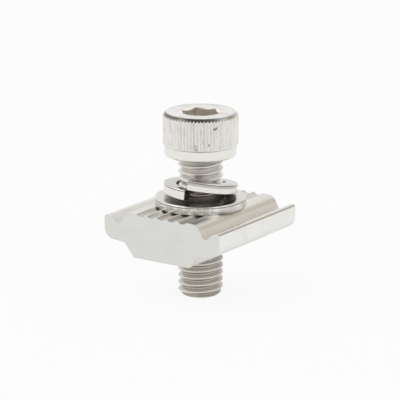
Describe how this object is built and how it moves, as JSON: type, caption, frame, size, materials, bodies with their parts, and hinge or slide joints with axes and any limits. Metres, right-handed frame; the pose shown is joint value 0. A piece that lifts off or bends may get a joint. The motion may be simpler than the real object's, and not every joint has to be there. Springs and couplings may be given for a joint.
{
  "type": "rail nut and cap screw set",
  "caption": "Slotted-rail nut on a knurled hexagon-socket cap screw, with a split spring washer and a flat washer, for clamping panels to a mounting rail.",
  "frame": {"origin": "centre of the screw's flat tip, on which the set stands", "axes": "+Z along the screw from its tip to its head, Y along the nut's extrusion and so along the rail, X across the rail slot"},
  "size_m": [0.024, 0.024, 0.0327],
  "materials": {
    "stainless_steel": "bright",
    "mill_aluminium": "mill"
  },
  "bodies": {
    "bolt": {"cap_screw": "stainless_steel"},
    "washers": {"flat_washer": "stainless_steel", "spring_washer": "stainless_steel"},
    "nut": {"rail_nut": "mill_aluminium"}
  },
  "joints": [
    {"name": "washers_slide", "type": "slide", "parent": "bolt", "child": "washers", "axis": [0, 0, 1], "range_m": [-0.0081, 0.0031]},
    {"name": "nut_turn", "type": "hinge", "parent": "washers", "child": "nut", "pos_m": [0, 0, 0.01225], "axis": [0, 0, 1], "range_deg": [-2304, 870]}
  ],
  "couplings": [
    {"joint": "washers_slide", "follows": "nut_turn", "m_per_rad": 0.00019894}
  ]
}
